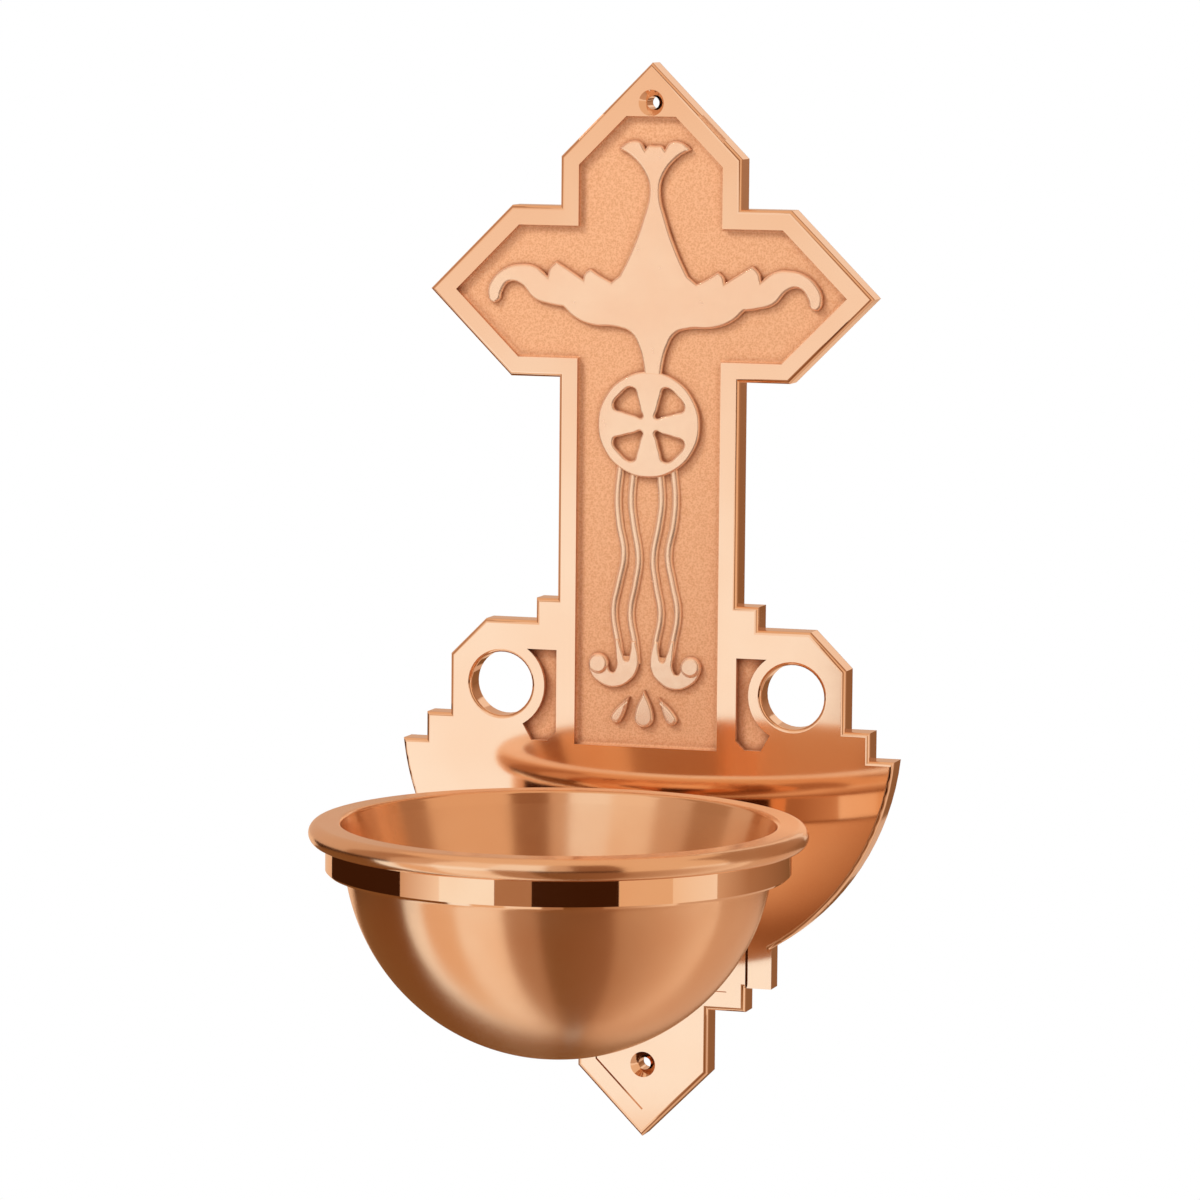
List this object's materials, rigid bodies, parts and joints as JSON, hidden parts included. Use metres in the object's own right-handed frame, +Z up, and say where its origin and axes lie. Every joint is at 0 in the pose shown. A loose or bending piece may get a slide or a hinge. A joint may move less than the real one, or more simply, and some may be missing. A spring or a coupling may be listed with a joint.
{
  "type": "holy water stoup",
  "caption": "Wall-hung cast bronze holy water stoup: a pointed cross back plate with carved dove relief and pierced rings carries a round bowl with a lift-out liner.",
  "frame": {"origin": "on the wall plane (the back face of the back plate), midway between the two wall screw holes", "axes": "+X to the right of someone facing the stoup, +Y into the wall, +Z up; the bowl stands out towards -Y"},
  "size_m": [0.1698, 0.18, 0.3561],
  "materials": {
    "plate": "cast bronze, polished borders over a stippled field",
    "bowl": "polished bronze",
    "liner": "polished bronze",
    "boss": "turned bronze",
    "screw": "stainless steel",
    "washer": "spring steel",
    "bowl_screw": "plain brass"
  },
  "bodies": {
    "stoup": {"back_plate": "plate", "bowl_shell": "bowl", "mounting_boss": "boss", "boss_screw_upper": "screw", "boss_screw_lower": "screw", "lock_washer_upper": "washer", "lock_washer_lower": "washer", "bowl_screw_left": "bowl_screw", "bowl_screw_right": "bowl_screw"},
    "liner": {"bowl_liner": "liner"}
  },
  "joints": [
    {"name": "liner_lift", "type": "slide", "parent": "stoup", "child": "liner", "axis": [0, 0, 1], "range_m": [0, 0.08]}
  ]
}
